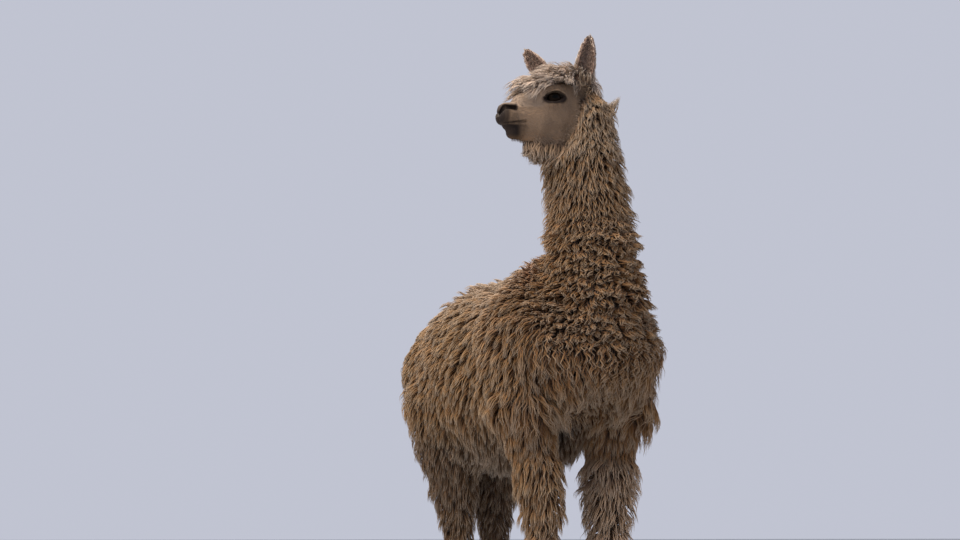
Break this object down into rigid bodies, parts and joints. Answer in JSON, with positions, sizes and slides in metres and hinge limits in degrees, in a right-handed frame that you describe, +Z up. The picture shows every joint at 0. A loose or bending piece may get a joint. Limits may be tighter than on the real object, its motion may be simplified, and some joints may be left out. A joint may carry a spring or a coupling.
{
  "type": "alpaca",
  "caption": "Life-size alpaca in full fleece, standing square on two-toed feet with its neck upright and its head turned to its right.",
  "frame": {"origin": "bottom centre of the bounding box, on the floor under the four feet", "axes": "+Z up; the trunk faces -Y; +X is the animal's left; the head is turned towards -X"},
  "size_m": [0.5366, 1.0196, 1.3975],
  "materials": {
    "fleece": "matte, crimped beige-brown wool",
    "face": "matte, short pale grey-beige hair over skin",
    "eye": "wet, near black",
    "nail": "satin dark horn"
  },
  "bodies": {
    "root": {"trunk": "fleece", "neck": "fleece", "tail": "fleece", "head": "face", "ear_left": "face", "ear_right": "face", "eye_left": "eye", "eye_right": "eye", "leg_front_left": "fleece", "leg_front_right": "fleece", "leg_hind_left": "fleece", "leg_hind_right": "fleece", "foot_front_left": "fleece", "foot_front_right": "fleece", "foot_hind_left": "fleece", "foot_hind_right": "fleece", "nail_front_left_inner": "nail", "nail_front_left_outer": "nail", "nail_front_right_inner": "nail", "nail_front_right_outer": "nail", "nail_hind_left_inner": "nail", "nail_hind_left_outer": "nail", "nail_hind_right_inner": "nail", "nail_hind_right_outer": "nail"}
  },
  "joints": []
}
